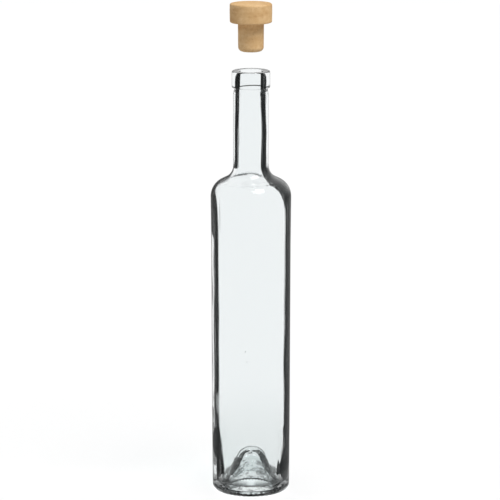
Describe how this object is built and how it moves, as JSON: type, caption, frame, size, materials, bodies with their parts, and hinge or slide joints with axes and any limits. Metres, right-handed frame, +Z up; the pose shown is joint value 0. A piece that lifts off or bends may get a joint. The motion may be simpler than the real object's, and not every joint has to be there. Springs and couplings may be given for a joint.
{
  "type": "corked glass bottle",
  "caption": "Slim clear glass bottle with a straight neck, ringed mouth, high round shoulder and deep push-up, empty, with its wide-headed cork stopper lifted out above the mouth.",
  "frame": {"origin": "middle of the foot, on the surface that the bottle stands on", "axes": "+Z up along the bottle's axis, through the mouth and the lifted stopper"},
  "size_m": [0.0604, 0.0604, 0.3732],
  "materials": {
    "glass": "clear, fire-polished, slightly wavy",
    "cork": "fine sanded cork, matt"
  },
  "bodies": {
    "root": {"bottle": "glass", "stopper": "cork"}
  },
  "joints": []
}
